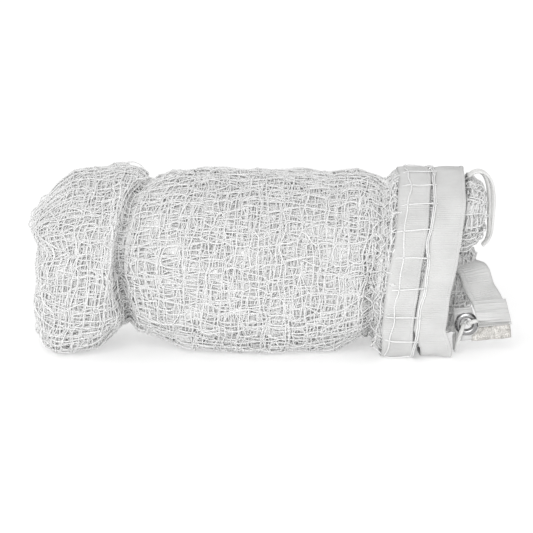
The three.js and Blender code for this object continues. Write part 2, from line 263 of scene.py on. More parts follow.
class Finish:
    """A new material, with short ways to add the nodes that are used here."""

    def __init__(self, name, roughness, sheen=0.0, metallic=0.0):
        self.material = bpy.data.materials.new(name)
        self.material.use_nodes = True
        self.nodes = self.material.node_tree.nodes
        self.links = self.material.node_tree.links
        self.inputs = self.nodes["Principled BSDF"].inputs
        set_values(self.inputs, {"Roughness": roughness, "Metallic": metallic,
                                 "Sheen Weight": sheen, "Specular IOR Level": 0.35})

    def add(self, kind, vector=None, **values):
        """A node, with the vector linked to it and its other inputs set by name."""
        node = self.nodes.new("ShaderNode" + kind)
        set_values(node.inputs, values)
        if vector is not None:
            self.links.new(vector, node.inputs["Vector"])
        return node

    def along_and_round(self):
        place = self.nodes.new("ShaderNodeUVMap")
        place.uv_map = "along_and_round"
        return place.outputs["UV"]

    def in_space(self):
        return self.add("TexCoord").outputs["Object"]

    def noise(self, vector, scale, detail=3.0):
        return self.add("TexNoise", vector, Scale=scale, Detail=detail).outputs["Fac"]

    def wave(self, vector, scale, axis, distortion=0.0):
        node = self.add("TexWave", vector, Scale=scale, Distortion=distortion)
        node.bands_direction = axis
        return node.outputs["Fac"]

    def math(self, operation, a, b=0.0):
        node = self.nodes.new("ShaderNodeMath")
        node.operation = operation
        for socket, value in zip(node.inputs, (a, b)):
            if isinstance(value, (int, float)):
                socket.default_value = value
            else:
                self.links.new(value, socket)
        return node.outputs[0]

    def sum_of(self, a, b, share):
        """a, plus a share of b."""
        return self.math("ADD", a, self.math("MULTIPLY", b, share))

    def colour(self, factor, low, high, at=(0.0, 1.0)):
        """A colour that runs from low to high as factor does."""
        ramp = self.nodes.new("ShaderNodeValToRGB")
        for element, position, colour in zip(ramp.color_ramp.elements, at, (low, high)):
            element.position = position
            element.color = (*colour, 1)
        self.links.new(factor, ramp.inputs["Fac"])
        self.links.new(ramp.outputs["Color"], self.inputs["Base Color"])

    def bump(self, height, distance, strength=1.0):
        node = self.add("Bump", Strength=strength, Distance=distance)
        self.links.new(height, node.inputs["Height"])
        self.links.new(node.outputs["Normal"], self.inputs["Normal"])


def twisted_material(name, low, high, diameter, depth=0.12, translucence=0.0):
    """A laid cord: strands run round it in a slant, its colour drifts a little, and the grooves
    between the strands are painted darker as painted shade.
    """
    finish = Finish(name, 0.62, sheen=0.15)
    set_values(finish.inputs, {"Subsurface Weight": translucence, "Subsurface Radius": (1, 1, 1),
                               "Subsurface Scale": 2.5 * MM})
    strands, lay_length = 3, 3.2 * diameter             # along the cord for one turn of a strand
    slant = finish.nodes.new("ShaderNodeVectorMath")
    slant.operation = "DOT_PRODUCT"
    slant.inputs[1].default_value = (strands / lay_length, strands, 0)
    finish.links.new(finish.along_and_round(), slant.inputs[0])
    turns = finish.math("MULTIPLY", slant.outputs["Value"], TAU)
    rounded = finish.math("ABSOLUTE", finish.math("SINE", turns))
    space = finish.in_space()
    drift = finish.noise(space, 35)
    fibres = finish.noise(space, 900, 2)
    # painted shade: the colour darkens from each strand's crown into the grooves, following the
    # strands' round profile
    mixed = finish.sum_of(finish.math("MULTIPLY", rounded, 0.35), drift, 0.8)
    finish.colour(mixed, low, high, (0.2, 0.85))
    finish.bump(finish.sum_of(rounded, fibres, 0.3), depth * diameter)
    return finish.material


def tape_material(name, low, high):
    """Woven tape: the ribs across it are in its mesh, and the weave between them is here, as bump
    and as painted shade that darkens the hollows between the yarns.
    """
    finish = Finish(name, 0.7, sheen=0.1)
    place = finish.along_and_round()
    warp = finish.wave(place, 2 / (0.9 * MM) / TAU, "Y")
    weft = finish.wave(place, 2 / (0.75 * MM) / TAU, "X")
    weave = finish.math("MULTIPLY", warp, weft)
    space = finish.in_space()
    drift = finish.noise(space, 22, 4)
    fuzz = finish.noise(space, 700, 2)
    # painted shade: the weave darkens the colour between the yarns' crowns
    finish.colour(finish.sum_of(drift, weave, 0.25), low, high, (0.3, 0.8))
    finish.bump(finish.sum_of(weave, fuzz, 0.5), 0.25 * MM, 0.8)
    return finish.material


def packed_material():
    """What shows between the layers: more netting, packed too tight and dark to see apart. The
    holes between its twines are painted darker, as painted shade.
    """
    finish = Finish("packed_netting", 0.85)
    space = finish.in_space()
    cells = finish.add("TexVoronoi", space, Scale=95)
    cells.feature = "DISTANCE_TO_EDGE"
    strands = finish.noise(space, 160, 5)
    # painted shade: the middles of the cells, the holes between packed twines, are darker than
    # their edges
    mixed = finish.sum_of(strands, cells.outputs["Distance"], -1.2)
    finish.colour(mixed, (0.83, 0.83, 0.825), (0.93, 0.93, 0.925), (0.1, 0.6))
    finish.bump(mixed, 1.2 * MM)
    return finish.material


def speckled_material(name, low, high):
    """A pale tape with a coarse, flecked weave. Its cream is its own colour, and its dark brown
    flecks and blotches are painted shade.
    """
    finish = Finish(name, 0.75, sheen=0.1)
    place = finish.along_and_round()
    flecks = finish.noise(place, 650, 2)
    patches = finish.noise(place, 90, 3)
    finish.colour(finish.sum_of(flecks, patches, 0.6), low, high, (0.62, 0.98))
    finish.bump(flecks, 0.5 * MM)
    return finish.material


def metal_material(name):
    """Plated steel, a little scratched and dulled by handling."""
    finish = Finish(name, 0.3, metallic=1.0)
    space = finish.in_space()
    dull = finish.noise(space, 300, 4)
    scratches = finish.wave(space, 500, "Z", 6)
    finish.colour(dull, (0.20, 0.20, 0.205), (0.46, 0.46, 0.46))
    rough = finish.math("ADD", finish.math("MULTIPLY", dull, 0.3), 0.12)
    finish.links.new(rough, finish.inputs["Roughness"])
    finish.bump(finish.sum_of(dull, scratches, 0.15), 0.12 * MM)
    return finish.material


twine_material = twisted_material(
    "netting_twine", (0.91, 0.91, 0.905), (0.98, 0.98, 0.975), TWINE, translucence=0.5)
tie_material = twisted_material(
    "tie_twine", (0.84, 0.84, 0.835), (0.95, 0.95, 0.945), TIE)
cord_material = twisted_material(
    "laid_cord", (0.82, 0.82, 0.80), (0.96, 0.96, 0.95), CORD, depth=0.16)
side_cord_material = twisted_material(
    "side_cord", (0.66, 0.66, 0.65), (0.88, 0.88, 0.87), SIDE_CORD)
tape = tape_material("headband_tape", (0.575, 0.575, 0.57), (0.71, 0.71, 0.705))
# the dark brown low colour is painted shade, the shade on the hem's face below the eyelet and the
# lap; the cream high colour is the strip's own
patch_tape_and_painted_shade = speckled_material("hem_edge_tape_and_painted_shade", (0.24, 0.23, 0.21), (0.84, 0.82, 0.79))
thread_material = twisted_material(
    "sewing_thread", (0.26, 0.26, 0.25), (0.60, 0.60, 0.59), 0.9 * MM)
metal = metal_material("plated_steel")
packed = packed_material()


# ------------------------------------------------------------------ cords
def resample(points, step):
    """A smooth curve through the points, as points about step apart."""
    points = np.asarray(points, float)
    padded = np.vstack([2 * points[0] - points[1], points, 2 * points[-1] - points[-2]])
    fine = []
    for a, b, c, d in zip(padded, padded[1:], padded[2:], padded[3:]):
        for f in np.linspace(0, 1, 24, endpoint=False):
            fine.append(0.5 * (2 * b + (c - a) * f + (2 * a - 5 * b + 4 * c - d) * f ** 2
                               + (3 * b - a - 3 * c + d) * f ** 3))
    fine = np.array(fine + [points[-1]])
    length = travel(fine)
    marks = np.linspace(0, length[-1], max(2, round(length[-1] / step)))
    return np.stack([np.interp(marks, length, fine[:, axis]) for axis in range(3)], -1)


def carried_normals(points):
    """A direction across the line at each point, turning as little as it can."""
    along = unit(np.gradient(points, axis=0))
    normal = np.cross(along[0], [0.31, 0.17, 0.93])
    normals = []
    for direction in along:
        normal = normal - normal.dot(direction) * direction
        normal = normal / np.linalg.norm(normal)
        normals.append(normal)
    return np.array(normals)


def laid_cord(name, points, diameter, material, sides=21):
    """A cord of twisted strands along the points, as one tube with the strands raised on it."""
    strands, lay, groove = 3, 3.1, 0.20
    points = np.asarray(points, float)
    along = unit(np.gradient(points, axis=0))
    normals = carried_normals(points)
    travelled = travel(points)
    twist = travelled[:, None] / (lay * diameter) * TAU
    strand = np.abs(np.cos(strands / 2 * (ring_angles(sides) - twist)))
    radius = diameter / 2 * (1 + 0.4 * groove - groove * (1 - strand) ** 1.4)
    to_end = np.minimum(travelled, travelled[-1] - travelled)
    radius = radius * (0.72 + 0.28 * np.clip(to_end / (0.3 * diameter), 0, 1))[:, None]
    rings = rings_round(points, normals, np.cross(along, normals), radius, sides)
    vertices = np.vstack([rings.reshape(-1, 3), points[[0, -1]]])
    uvs = np.concatenate([tube_uvs(travelled, sides), np.zeros((2 * 3 * sides, 2))])
    return make_object(name, vertices, tube_faces(len(points), sides), material, uvs)


def overhand_knot(name, centre, direction, size, diameter, material):
    """A knot pulled tight in the cord: a trefoil of it, flattened along direction."""
    turn = np.linspace(0, TAU, 150)
    x = np.sin(turn) + 2 * np.sin(2 * turn)
    y = np.cos(turn) - 2 * np.cos(2 * turn)
    z = -np.sin(3 * turn) * 1.15
    direction = Vector(direction).normalized()
    side = direction.orthogonal().normalized()
    other = direction.cross(side)
    line = [Vector(centre) + (side * a + other * b + direction * c) * size / 3
            for a, b, c in zip(x, y, z)]
    return laid_cord(name, np.array([list(p) for p in line]), diameter, material)


TIE_CORD_ROUTE = [
    (308, -70, 54), (303.5, -71.5, 54), (298.5, -72, 52.3), (294.8, -68.5, 50.3),
    (293.8, -62, 49.2), (294, -54, 48.2), (297.5, -46.5, 45.5), (303, -41, 42),
    (307.5, -38.5, 36), (308, -38, 29.5), (303.5, -38, 25), (296.5, -38.5, 24),
    (290, -39.5, 26), (286, -41, 30.5), (284.8, -43, 35), (285.8, -46.5, 39.5),
    (287, -52.5, 43.3), (287.2, -60, 46), (286.3, -67.5, 45.5), (284, -72.5, 40.5),
    (281.3, -73.3, 33), (278.7, -73, 25), (276.6, -70.5, 16.5), (275.5, -64, 9.5),
    (275, -56, 8.2), (274.8, -49, 13), (274.6, -45.2, 20.5), (274.5, -43.6, 29)]
SIDE_CORD_ROUTE = [
    (294, 0, 266), (303, 0, 272), (314, 0, 273), (324, 0, 267), (330, 0, 255),
    (332.5, 0, 240), (333, 0, 222), (331.5, 0, 204), (330, 0, 186), (325, 0, 171), (316, 0, 161)]
# Each loop's place along Y, and how far its middle is pushed right and up from the route, in mm.
SIDE_CORD_LOOPS = [(-27, 0, -2), (-20, -6.5, -2), (-12, -3, -1.5), (-3, -8, -5)]


def make_tie_cord():
    route = resample(np.array(TIE_CORD_ROUTE) * MM, 0.6 * MM)
    tie_cord = laid_cord("tie_cord_rope", route, CORD, cord_material)
    put(tie_cord, "end_hem", "cord", "tie_cord")
    direction = unit(route[-1] - route[-6])
    knot = overhand_knot("tie_cord_stopper", route[-1] + direction * 6.5 * MM, direction,
                         4.0 * MM, 0.9 * CORD, cord_material)
    put(knot, "end_hem", "cord", "tie_cord_knot")


def make_side_cords():
    for number, (y, right, up) in enumerate(SIDE_CORD_LOOPS, 1):
        route = np.array(SIDE_CORD_ROUTE, float)
        bulge = np.sin(math.pi * np.arange(len(route)) / (len(route) - 1))
        route[:, 0] += right * bulge
        route[:, 1] = y
        route[:, 2] += up
        points = resample(route * MM, 0.6 * MM)
        loop = laid_cord(f"side_cord_loop_{number}_twine", points, SIDE_CORD,
                         side_cord_material, sides=15)
        put(loop, "bundle", "side_cord", f"side_cord_loop_{number}")


make_tie_cord()
make_side_cords()


# ------------------------------------------------------------------ the roll's surface
def lean_at(x):
    marks = np.array(LEANS, float)
    return np.interp(x, marks[:, 0] * MM, marks[:, 1])


def smooth_noise(random, count, shortest, longest):
    """A smooth random field of (t, angle), about -1 to 1, with wavelengths in metres along t."""
    waves = []
    for _ in range(count):
        wavelength = math.exp(random.uniform(math.log(shortest), math.log(longest)))
        heading = random.uniform(0, TAU)
        turns = round(TAU * ROLL_RADIUS / wavelength * math.sin(heading))
        waves.append((TAU / wavelength * math.cos(heading), turns, random.uniform(0, TAU)))
    height = 1.4 / math.sqrt(count)

    def field(t, angle):
        total = 0
        for k, turns, phase in waves:
            total = total + np.sin(k * t + turns * angle + phase)
        return height * total
    return field


class RollSurface:
    """The outside of rolled netting, as rings of points round the roll. It is addressed by t,
    metres along the roll's outline from its left end, and angle."""

    def __init__(self, rings):
        self.points = points = np.asarray(rings)
        self.angles = points.shape[1]
        steps = np.linalg.norm(np.diff(points, axis=0), axis=2).mean(1)
        self.t = np.concatenate([[0], np.cumsum(steps)])
        self.length = self.t[-1]
        around = np.roll(points, -1, 1) - np.roll(points, 1, 1)
        self.normals = unit(np.cross(around, np.gradient(points, axis=0)))
        self.girth = np.linalg.norm(points - np.roll(points, 1, 1), axis=2).sum(1)
        self.x = points[:, :, 0].mean(1)

    def at(self, t, angle):
        """Points on the surface, and the outward normals there."""
        row = np.interp(t, self.t, np.arange(len(self.t)))
        i = np.clip(row.astype(int), 0, len(self.t) - 2)
        f = (row - i)[..., None]
        column = (angle / TAU % 1) * self.angles
        j = column.astype(int) % self.angles
        g = (column - np.floor(column))[..., None]
        j2 = (j + 1) % self.angles

        def blended(grid):
            low = grid[i, j] * (1 - g) + grid[i, j2] * g
            high = grid[i + 1, j] * (1 - g) + grid[i + 1, j2] * g
            return low * (1 - f) + high * f
        return blended(self.points), unit(blended(self.normals))

    def t_at_x(self, x):
        return float(np.interp(x, self.x, self.t))


def tree_of(*nodes):
    """What a ray can hit: the CAD solids of these nodes."""
    vertices, faces = [], []
    for node in nodes:
        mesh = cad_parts[node].data
        start = len(vertices)
        vertices.extend(v.co for v in mesh.vertices)
        faces.extend([start + i for i in p.vertices] for p in mesh.polygons)
    return BVHTree.FromPolygons(vertices, faces)


ANGLES = 160                    # points in each ring of a surface


def cast_rings(stations, axis):
    """Rings of the surface, found from the CAD solids by rays towards the roll's axis. stations
    are (x of the ray's end on the axis, tilt towards +X, the tree it looks for)."""
    angles = ring_angles(ANGLES)
    reach = 0.6                 # far enough to start outside every solid
    rings = np.full((len(stations), ANGLES, 3), np.nan)
    for i, (x, tilt, tree) in enumerate(stations):
        origin = Vector((x, axis[0], axis[1]))
        for j, angle in enumerate(angles):
            level = Vector((lean_at(x) * math.sin(angle), math.cos(angle), math.sin(angle)))
            ray = level * math.cos(tilt) + Vector((1, 0, 0)) * math.sin(tilt)
            hit = tree.ray_cast(origin + ray * reach, -ray)[0]
            if hit is not None:
                rings[i, j] = hit
    # a ray that misses takes its neighbour's point
    for i in range(1, len(rings)):
        rings[i] = np.where(np.isnan(rings[i]), rings[i - 1], rings[i])
    for i in range(len(rings) - 2, -1, -1):
        rings[i] = np.where(np.isnan(rings[i]), rings[i + 1], rings[i])
    return rings


def softened(rings, times):
    for _ in range(times):
        rings[1:-1] = (rings[:-2] + 2 * rings[1:-1] + rings[2:]) / 4
    return rings


def left_end(ring, middle, reach):
    """Rings that close the roll's left end: square shouldered below, more sloping above, with a
    fold of netting standing out near the top."""
    height = ring[:, 2]
    up = np.clip((height - middle[2]) / 0.15, -1, 1)
    squareness = np.interp(up, [-1, -0.4, 0.4, 1], [7.0, 4.4, 3.4, 2.9])
    rings = []
    for turn in np.radians(np.arange(87, 0, -4)):
        shrink = math.cos(turn) ** (2 / squareness)
        out = math.sin(turn) ** (2 / squareness)
        made = middle + (ring - middle) * shrink[:, None]
        level = made[:, 2]
        folds = (17 * bell(level, 197, 21) - 7 * bell(level, 163, 11)
                 - 9 * part_way(level, 214 * MM, 40 * MM)) * MM
        made[:, 0] = ring[:, 0] * (1 - out) + (ring[:, 0].mean() - reach - folds) * out
        rings.append(made)
    hub = rings[0].mean(0)
    closing = [hub + (rings[0] - hub) * share for share in (0.08, 0.25, 0.42, 0.6, 0.8)]
    return np.array(closing + rings)


def roll_surface():
    """The three bunches' outline. The CAD solids give its size, and the shaping below gives the
    sags, folds and creases that a bundle has from lying on its underside."""
    bunches = ["netting_left_bunch", "netting_centre_bunch", "netting_right_bunch"]
    netting, with_band = tree_of(*bunches), tree_of(*bunches, "headband_stacked_turns")
    axis = (0, MID_HEIGHT)
    along = cast_rings([(x, 0.0, with_band) for x in np.arange(-262 * MM, 266 * MM, 3 * MM)], axis)
    middle = np.array([along[0, :, 0].mean(), 0, 112 * MM])
    x, y, z = along[:, :, 0], along[:, :, 1], along[:, :, 2]        # views, so they stay current
    sag = graded(x, [-250, -222, -140, -90, -50, 95, 130, 150], [8, 0, 0, 4, 7, 7, 0, 0])
    z -= sag * part_way(z, 190 * MM, 70 * MM)
    raised = graded(x, [-290, -255, -239, -222, -213, -206, -190, -172, -155, -122, -90, 90, 118,
                        135, 150], [0, 9, 22, 13, 0, 5, 12, 13, 11, 5, 2, 2, 9, 13, 4])
    z += raised * part_way(z, 70 * MM, -50 * MM)
    # the front of the centre bunch's belly hangs over the left waist
    pushed = graded(z, [40, 77, 100, 127, 154, 180, 219, 248, 268],
                    [0, 8, 17, 26, 31, 32, 28, 21, 3])
    in_front = part_way(y, 0, -60 * MM)
    by_waist = np.interp(x.mean(1) / MM, [-238, -206, -186, -105], [0, 1, 1, 0])
    x -= pushed * in_front * by_waist[:, None]
    # the centre bunch's outer turns end in a lip that hangs over the turns beneath
    lip_height = graded(x, [-225, -212, -136, -60, 60, 150], [74, 70, 48, 40, 38, 46])
    by_lip = np.interp(x.mean(1) / MM, [-214, -200, 90, 140], [0, 1, 0.7, 0])
    y += 11 * MM * part_way(z, lip_height, -5 * MM) * in_front * by_lip[:, None]
    # the right waist's crease is deepest low down in front
    y += 14 * MM * bell(x, 147, 7) * part_way(z, 190 * MM, -80 * MM) * in_front
    # and the left waist is drawn in behind the lip
    drawn_in = bell(x.mean(1), -203, 7)[:, None]
    y += 22 * MM * in_front * part_way(z, 170 * MM, -60 * MM) * drawn_in
    left = left_end(along[0], middle, 89 * MM)
    right = cast_rings([(240 * MM, tilt, netting) for tilt in np.radians(np.arange(20, 89, 3))],
                       axis)
    return RollSurface(softened(np.concatenate([left, along, right]), 2))


def tuft_surface():
    tuft = tree_of("netting_end_tuft")
    stations = [(x, 0.0, tuft) for x in np.arange(271.5 * MM, 292 * MM, 2 * MM)]
    stations += [(290 * MM, tilt, tuft) for tilt in np.radians(np.arange(5, 89, 4))]
    return RollSurface(softened(cast_rings(stations, (0, 200 * MM)), 4))


def fold_surface():
    fold = tree_of("netting_end_fold")
    stations = [(x, 0.0, fold) for x in np.arange(270 * MM, 290 * MM, 2 * MM)]
    stations += [(286 * MM, tilt, fold) for tilt in np.radians(np.arange(5, 89, 4))]
    rings = softened(cast_rings(stations, (24 * MM, 82 * MM)), 4)
    x, z = rings[:, :, 0], rings[:, :, 2]
    z += 13 * MM * part_way(z, 90 * MM, 40 * MM)
    x += 8 * MM * part_way(x, 280 * MM, 24 * MM)
    root = rings[:1] - np.array([18 * MM, 0, 0])
    return RollSurface(np.concatenate([root, rings]))


roll = roll_surface()
BAND_START = roll.t_at_x(178 * MM)
ROLL_END = roll.t_at_x(262 * MM)
NECK = roll.t_at_x(166 * MM)
OVER_BAND = 6 * MM              # how far the outer layers rise to clear the inner wrap


# ------------------------------------------------------------------ netting
def netting_layer(index, random):
    """One turn of the netting round the roll. Its rows run round the roll, pulled straight; its
    columns run along the roll, slack and pleated."""
    outer = index < OUTER_LAYERS
    depth = LAYER_DEPTH * (index / (LAYERS - 1)) ** 0.9
    wander, lumps, crimp, kinks, sway, jiggle = (smooth_noise(random, *spec) for spec in (
        (9, 0.25, 0.60), (9, 0.05, 0.16), (12, 0.03, 0.09), (14, 0.012, 0.03), (9, 0.06, 0.20),
        (12, 0.018, 0.05)))
    pleat_length = random.uniform(0.060, 0.085)         # of netting, for one pleat
    pleat_phase = random.uniform(0, TAU)
    slant = random.uniform(-0.03, 0.03)                 # the panel isn't rolled quite square

    def place(s, v):
        """The point of the netting s along its slack height and v round the roll."""
        t = s / GATHER
        pleat = TAU * s / pleat_length + pleat_phase + 1.3 * wander(t, v)
        fold = 0.75 + 0.25 * np.sin(3 * v + pleat_phase)
        t_here = t + fold * 6.5 * MM * np.sin(pleat) + 1.7 * MM * crimp(t, v)
        t_here = t_here + 0.5 * MM * kinks(t, v) + slant * ROLL_RADIUS * np.sin(v + pleat_phase)
        aside = 5.0 * MM * sway(t, v) + 2.2 * MM * jiggle(t, v) + 0.7 * MM * kinks(v, t)
        angle = v + aside / ROLL_RADIUS
        t_here = np.clip(t_here, 1 * MM, roll.length - 1 * MM)
        points, outward = roll.at(t_here, angle)
        rise = 1.0 * MM * np.cos(pleat) + 1.6 * MM * lumps(t, v) + 0.5 * MM * jiggle(v, t)
        height = -depth + rise - SINK
        in_front = np.clip(-1.6 * outward[:, 1], 0, 1) if outer else 0.0
        over = part_way(t_here, NECK, 14 * MM) * OVER_BAND * in_front
        goes_under = BAND_START + (3 * MM * wander(v, t) + 1 * MM) * in_front
        under_band = (t_here > goes_under) & (t_here < ROLL_END)
        height = np.where(under_band, np.minimum(height, -TWINE), height + over)
        points = points + outward * height[:, None]
        points[:, 2] = np.maximum(points[:, 2], 0.55 * TWINE)
        return points, outward

    step = 6.0 * MM if outer else 9.0 * MM
    twines = Tubes(TWINE, 5 if outer else 4)
    rows = np.arange(0.35 * MESH, roll.length * GATHER, MESH) + random.uniform(0, 0.6) * MESH
    rows = rows[rows < roll.length * GATHER - 6 * MM]
    columns = ring_angles(COLUMNS) + random.uniform(0, TAU)
    for s in rows:
        count = max(12, int(np.interp(s / GATHER, roll.t, roll.girth) / step))
        twines.add(*place(np.full(count, s), ring_angles(count)), closed=True)
    for v in columns:
        s = np.arange(random.uniform(14, 130) * MM, roll.length * GATHER - 8 * MM, step)
        twines.add(*place(s, np.full(len(s), v)))
    if outer:
        add_knots(index, place, rows, columns, random)
    layer = twines.build(f"netting_layer_{index + 1:02d}", twine_material)
    put(layer, "bundle", "netting")


def add_knots(index, place, rows, columns, random):
    """Small loops of twine round each crossing, as a net's knots are."""
    twines = Tubes(TWINE, 5)
    knot_radius = 1.9 * MM
    v, s = flat_grid(columns, rows)
    points, outward = place(s, v)
    side = unit(np.cross(outward, [0.3, 0.2, 1.0]))
    ahead = np.cross(outward, side)
    turn = ring_angles(6)
    for i in range(len(points)):
        tilt = random.uniform(-0.9, 0.9)
        heading = random.uniform(0, TAU)
        a = side[i] * math.cos(heading) + ahead[i] * math.sin(heading)
        b = np.cross(outward[i], a) * math.cos(tilt) + outward[i] * math.sin(tilt)
        ring = points[i] + knot_radius * (np.outer(np.cos(turn), a) + np.outer(np.sin(turn), b))
        twines.add(ring, np.broadcast_to(np.cross(a, b), ring.shape), closed=True, scale=1.05)
    knots = twines.build(f"netting_knots_{index + 1:02d}", twine_material)
    put(knots, "bundle", "netting")


def gathered_end(name, node, surface, seed, pleats, depth):
    """Netting gathered in a bulge out of the end of the roll."""
    for index in range(4):
        random = np.random.default_rng(seed + index)
        crimp = smooth_noise(random, 12, 0.02, 0.06)
        lumps = smooth_noise(random, 9, 0.03, 0.09)

        def place(s, v, index=index, crimp=crimp, lumps=lumps):
            t = np.clip(s + 2.0 * MM * crimp(s, v), 0.001, surface.length - 0.001)
            angle = v + 4.0 * MM * crimp(v, s) / 0.06
            points, outward = surface.at(t, angle)
            ripple = np.sin((pleats + index) * v) + lumps(s, v)
            height = (-2.6 - 1.5 * index + 1.8 * ripple) * MM
            return points + outward * height[:, None], outward
        twines = Tubes(TWINE, 6)
        end = surface.length - 3 * MM
        for s in np.arange(4 * MM, end, 9 * MM) + random.uniform(0, 5) * MM:
            twines.add(*place(np.full(60, min(s, end)), ring_angles(60)), closed=True)
        for v in ring_angles(26) + random.uniform(0, TAU):
            s = np.arange(2 * MM, end, 4 * MM)
            twines.add(*place(s, np.full(len(s), v)))
        layer = twines.build(f"{name}_layer_{index + 1}", twine_material)
        put(layer, "bundle", "netting")
    put(surface_skin(f"{name}_core", surface, depth, 1.5 * MM, 60), "bundle", "netting", node)


def loose_loops():
    """Twines that have slipped out of the roll: many small ones, and a few large at its corners."""
    random = np.random.default_rng(77)
    twines = Tubes(TWINE, 7)

    def loop(t, v, along, around, height):
        f = np.linspace(0, 1, 18)
        skew = random.uniform(-0.25, 0.25)
        shape = np.sin(math.pi * f ** (1 + skew))
        ts = np.clip(t + along * (f - 0.5), 0.002, roll.length - 0.002)
        points, outward = roll.at(ts, v + around * (f - 0.5) / 0.13)
        bend = random.uniform(-0.35, 0.35) * height * np.sin(TAU * f)
        points = points + outward * (height * shape - 2.5 * MM)[:, None]
        points[:, 0] += bend
        points[:, 2] = np.maximum(points[:, 2], 0.6 * TWINE)
        twines.add(points, outward)
    for _ in range(70):
        heading = random.uniform(0, TAU)
        span = random.uniform(0.02, 0.055)
        t = random.uniform(0.03, roll.t_at_x(172 * MM))
        loop(t, random.uniform(0, TAU), span * math.cos(heading), span * math.sin(heading),
             random.uniform(3, 6.5) * MM)
    for _ in range(90):
        t = roll.t_at_x(random.uniform(146, 180) * MM)
        along, around = random.uniform(-14, 26) * MM, random.uniform(14, 34) * MM
        v = random.uniform(0, TAU)
        height = random.uniform(4, 10.5) * (0.35 + 0.65 * (1 - max(0, math.sin(v))))
        loop(t, v, along, around, height * MM)
    top, front_foot = math.pi / 2, -0.30 * math.pi
    for x, v, along, around, height in (
            (-203, top + 0.10, 34, 8, 11), (-212, top + 0.25, 30, -22, 9),
            (-222, top - 0.15, 38, 16, 8), (-305, front_foot, 30, 10, 12),
            (-262, front_foot, 26, -12, 9), (-330, 0.10 * math.pi + math.pi, 26, 30, 9),
            (-345, 0.16 * math.pi + math.pi, 18, 40, 8), (-168, top, 32, 12, 7),
            (-60, top + 0.2, 46, 6, 5), (40, top - 0.2, 52, -8, 5)):
        loop(roll.t_at_x(x * MM), v, along * MM, around * MM, height * MM)
    put(twines.build("netting_loose_loops", twine_material), "bundle", "netting")


def surface_skin(name, surface, depth, roughness, rows, k=96):
    """A closed lumpy skin under a surface."""
    lumps = smooth_noise(np.random.default_rng(90), 14, 0.03, 0.12)
    t, angles = flat_grid(np.linspace(0, surface.length, rows), ring_angles(k))
    points, outward = surface.at(t, angles)
    points = points - outward * (depth - roughness * lumps(t, angles))[:, None]
    points[:, 2] = np.maximum(points[:, 2], 3 * MM)
    middles = np.array([points[:k].mean(0), points[-k:].mean(0)])
    skin = make_object(name, np.concatenate([points, middles]), tube_faces(rows, k), packed)
    mend_facing(skin)
    return skin


def netting_over_band():
    """The netting that hangs from the outer wrap's edge, drawn over the inner wrap."""
    random = np.random.default_rng(55)
    sway = smooth_noise(random, 8, 0.10, 0.35)
    ripple = smooth_noise(random, 8, 0.04, 0.10)
    points, normals = band_seat(7.4 * MM, 3 * MM)
    count = len(points)

    def place(x, index):
        """A point over the bands: x at mid height, index round the loop."""
        index = np.asarray(index, float) % count
        low = index.astype(int)
        f = (index - low)[:, None]
        high = (low + 1) % count
        loop = points[low] * (1 - f) + points[high] * f
        normal = normals[low] * (1 - f) + normals[high] * f
        angle = index / count * TAU
        x = x + 2.2 * MM * sway(x, angle) + 0.9 * MM * ripple(x, angle)
        lift = 0.7 * MM * ripple(angle * 0.14, x * 7)
        sunk = graded(x, [140, 150, 160, 170, 180, 190], [10, 15, 18, 12, 3, 0])
        yz = loop + normal * (lift - sunk)[:, None]
        x = x + BAND_LEAN * (yz[:, 1] - MID_HEIGHT)
        made = np.stack([x, yz[:, 0], np.maximum(yz[:, 1], 0.55 * TWINE)], -1)
        return made, off_x(normal)
    twines = Tubes(TWINE, 8)
    everywhere = np.arange(count)
    for x in (226.5, 223.8, 187, 168):
        twines.add(*place(np.full(count, x * MM), everywhere), closed=True, scale=0.95)
    cells = 21
    for cell in range(cells):
        start = (cell + random.uniform(-0.08, 0.08)) / cells * count
        xs = np.arange(random.uniform(158, 172) * MM, 230 * MM, 3 * MM)
        drift = 2.5 * np.sin(xs / (31 * MM) + random.uniform(0, TAU))
        twines.add(*place(xs, start + drift / 3), scale=0.95)
    put(twines.build("netting_over_headband", twine_material), "bundle", "netting")


def make_ties():
    for side, x in (("left", -197 * MM), ("right", 160 * MM)):
        t = roll.t_at_x(x)
        count = 260
        v = np.arange(2 * count + 1) / count * TAU
        offset = np.linspace(-2.4, 2.4, len(v)) * MM
        points, outward = roll.at(t + offset, v)
        points = points - outward * 4.0 * MM
        points[:, 2] = np.maximum(points[:, 2], 3 * MM)
        tie = laid_cord(f"{side}_tie_turns", points, TIE, tie_material, sides=12)
        put(tie, "bundle", "tie_twine", f"{side}_bundle_tie")
        low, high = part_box(f"{side}_tie_knot")
        centre = (Vector(low) + Vector(high)) / 2 - Vector((0, 0, 12 * MM))
        knot = overhand_knot(f"{side}_tie_hitch", centre, (0, 0.3, 1), 4.2 * MM, TIE, tie_material)
        put(knot, "bundle", "tie_twine", f"{side}_tie_knot")


core = surface_skin("packed_core", roll, LAYER_DEPTH + SINK + 1.5 * MM, 1.4 * MM, 190, 128)
put(core, "bundle", "netting", "netting_left_bunch", "netting_centre_bunch", "netting_right_bunch")
for layer_index in range(LAYERS):
    netting_layer(layer_index, np.random.default_rng(100 + layer_index))


# ------------------------------------------------------------------ headband
RIB = 3.4 * MM                  # from one rib of the tape to the next
PLY = 1.5 * MM                  # thickness of the tape
BAND_WIDTH = 46 * MM            # of the folded tape
WRAP_CORD = 2.3 * MM            # radius of the fold round the head cord in the wraps
WRAP_EDGES = {"inner": 220 * MM, "outer": 275 * MM}         # the folds' X at mid height


def folded_tape_path(width, cord_radius, gap, flat_points=9):
    """The middle line of a tape folded in two round a cord, as (across from the fold, through).
    It starts at the front ply's free edge and ends at the back ply's."""
    flat = (gap + PLY) / 2
    front = [(a, flat) for a in np.linspace(width, 2.6 * cord_radius, flat_points)]
    start = math.asin(flat / cord_radius)
    fold = [(cord_radius + cord_radius * math.cos(a), cord_radius * math.sin(a))
            for a in np.linspace(start, TAU - start, 13)]
    back = [(a, -t) for a, t in reversed(front)]
    return np.array(front + fold + back)


